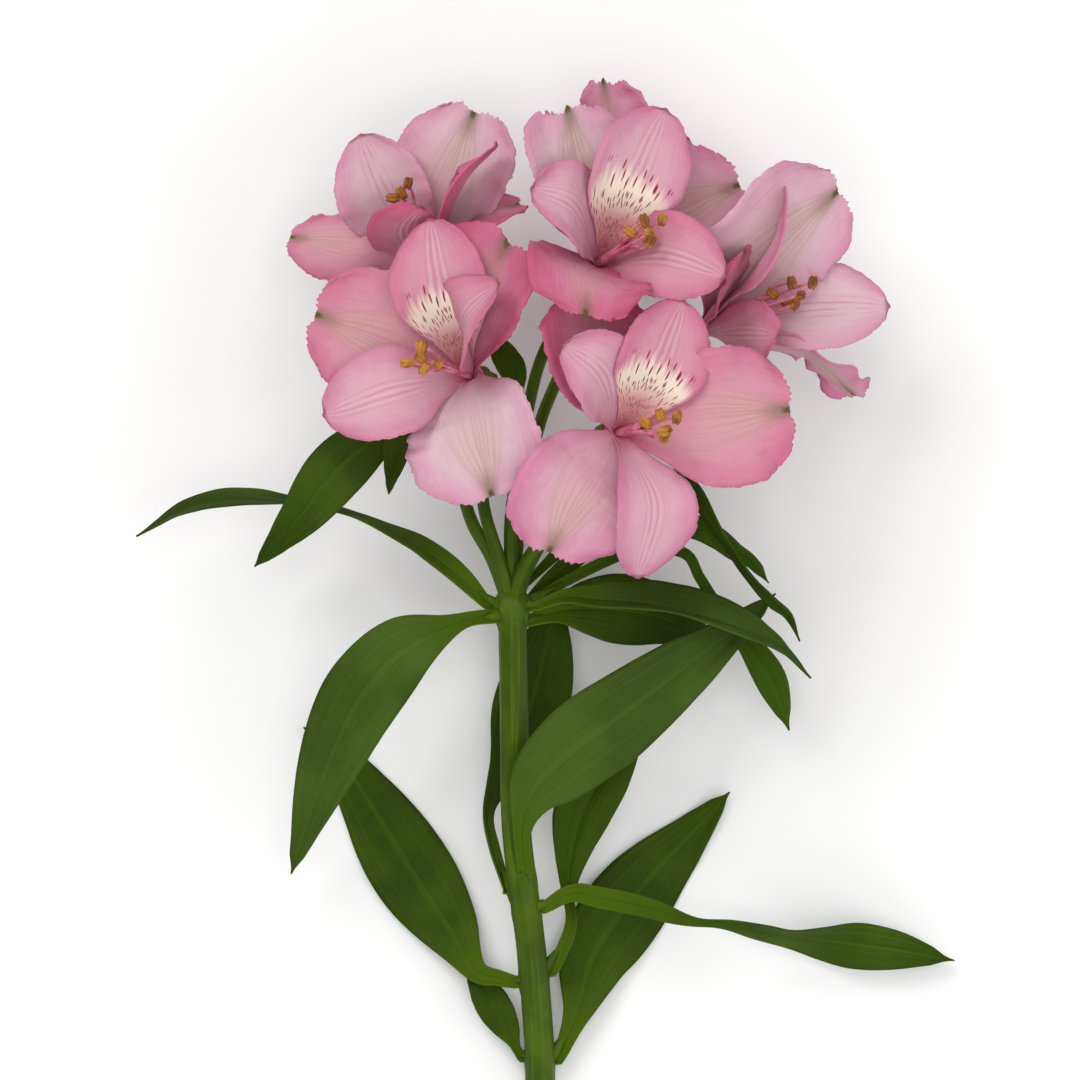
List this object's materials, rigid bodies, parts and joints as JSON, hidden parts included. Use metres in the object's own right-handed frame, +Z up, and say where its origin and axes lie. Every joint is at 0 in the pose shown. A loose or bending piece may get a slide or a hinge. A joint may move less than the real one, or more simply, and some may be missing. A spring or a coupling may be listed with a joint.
{
  "type": "alstroemeria stem",
  "caption": "Cut flower stem lying on its back: a slender green stem with twisted lance-shaped leaves and an umbel of open pink blooms with freckled inner petals and golden anthers.",
  "frame": {"origin": "bottom centre of the bounding box, on the surface that the stem lies on", "axes": "+Y along the stem from its cut end to the blooms, +X to the right as seen from above, +Z up from the surface"},
  "size_m": [0.2083, 0.259, 0.087],
  "materials": {
    "stem": "satin living green, ridged",
    "leaf": "satin living green with fine lengthwise veins",
    "petal": "soft matt petal tissue, pink, slightly translucent",
    "stamen": "matt golden pollen on pink threads"
  },
  "bodies": {
    "root": {"stem": "stem", "leaf_left_narrow": "leaf", "leaf_left_broad": "leaf", "leaf_low_left": "leaf", "leaf_foot_left": "leaf", "leaf_behind_stem": "leaf", "leaf_right_crossing": "leaf", "leaf_right_under": "leaf", "leaf_low_right": "leaf", "leaf_right_low_long": "leaf", "leaf_right_folded": "leaf", "leaf_right_broad": "leaf", "leaf_right_necked": "leaf", "leaf_right_arched": "leaf", "leaf_right_small": "leaf", "bract_left_broad": "leaf", "bract_left_small": "leaf", "bract_middle": "leaf", "bloom_a_tepals": "petal", "bloom_b_tepals": "petal", "bloom_c_tepals": "petal", "bloom_d_tepals": "petal", "bloom_e_tepals": "petal", "bloom_f_tepals": "petal", "bloom_a_stamens": "stamen", "bloom_b_stamens": "stamen", "bloom_c_stamens": "stamen", "bloom_d_stamens": "stamen", "bloom_e_stamens": "stamen", "bloom_f_stamens": "stamen"}
  },
  "joints": []
}
